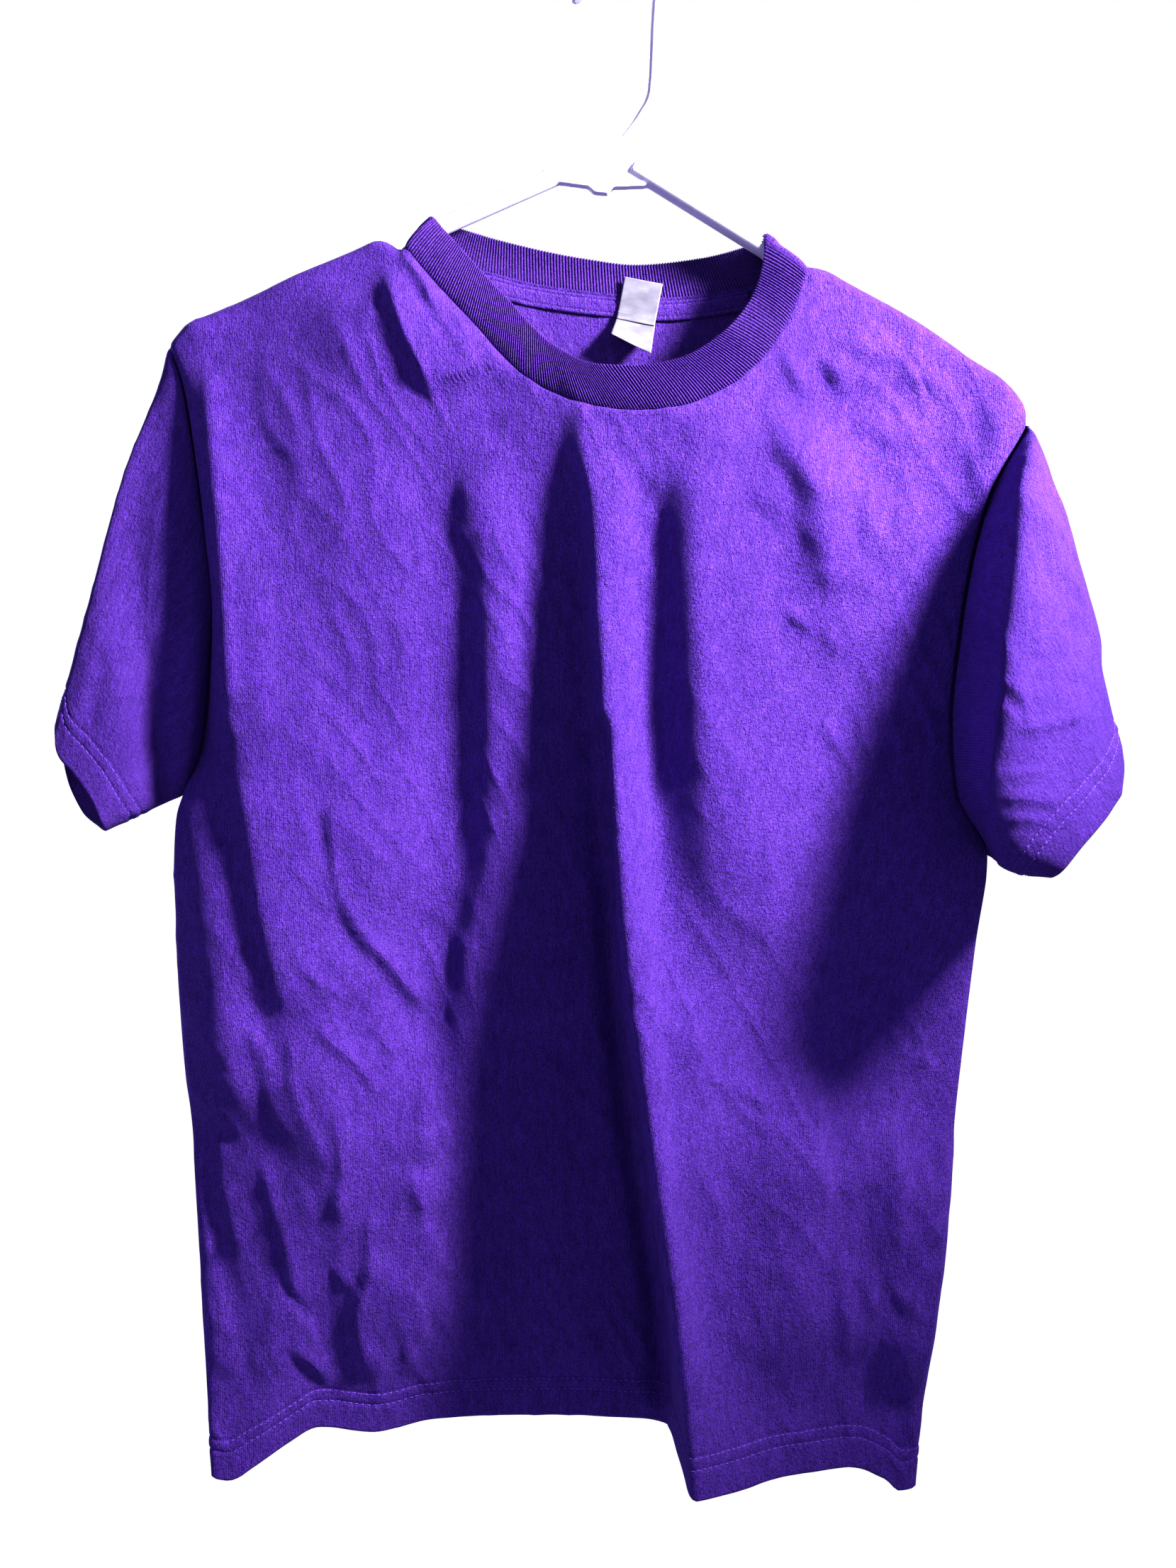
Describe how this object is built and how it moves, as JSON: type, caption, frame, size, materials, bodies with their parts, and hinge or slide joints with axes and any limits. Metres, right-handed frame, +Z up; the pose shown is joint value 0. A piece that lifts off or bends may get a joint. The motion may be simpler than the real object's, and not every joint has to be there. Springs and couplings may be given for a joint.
{
  "type": "t-shirt on a clothes hanger",
  "caption": "Short-sleeved crew-neck T-shirt of purple cotton jersey, hanging in soft vertical folds on a white plastic tubular hanger.",
  "frame": {"origin": "inner top of the hanger's hook, where a rail or nail carries it", "axes": "+Z up along the length of the shirt; the shirt's front faces -Y; +X is the wearer's left, to the right as one looks at the front"},
  "size_m": [0.5843, 0.1574, 0.8265],
  "materials": {
    "jersey": "matt single jersey",
    "rib": "matt 1 x 1 rib",
    "label": "satin",
    "plastic": "smooth moulded"
  },
  "bodies": {
    "root": {"front_panel": "jersey", "back_panel": "jersey", "sleeve_right": "jersey", "sleeve_left": "jersey", "neckband": "rib", "neck_tape": "jersey", "care_label": "label", "hanger": "plastic"}
  },
  "joints": []
}
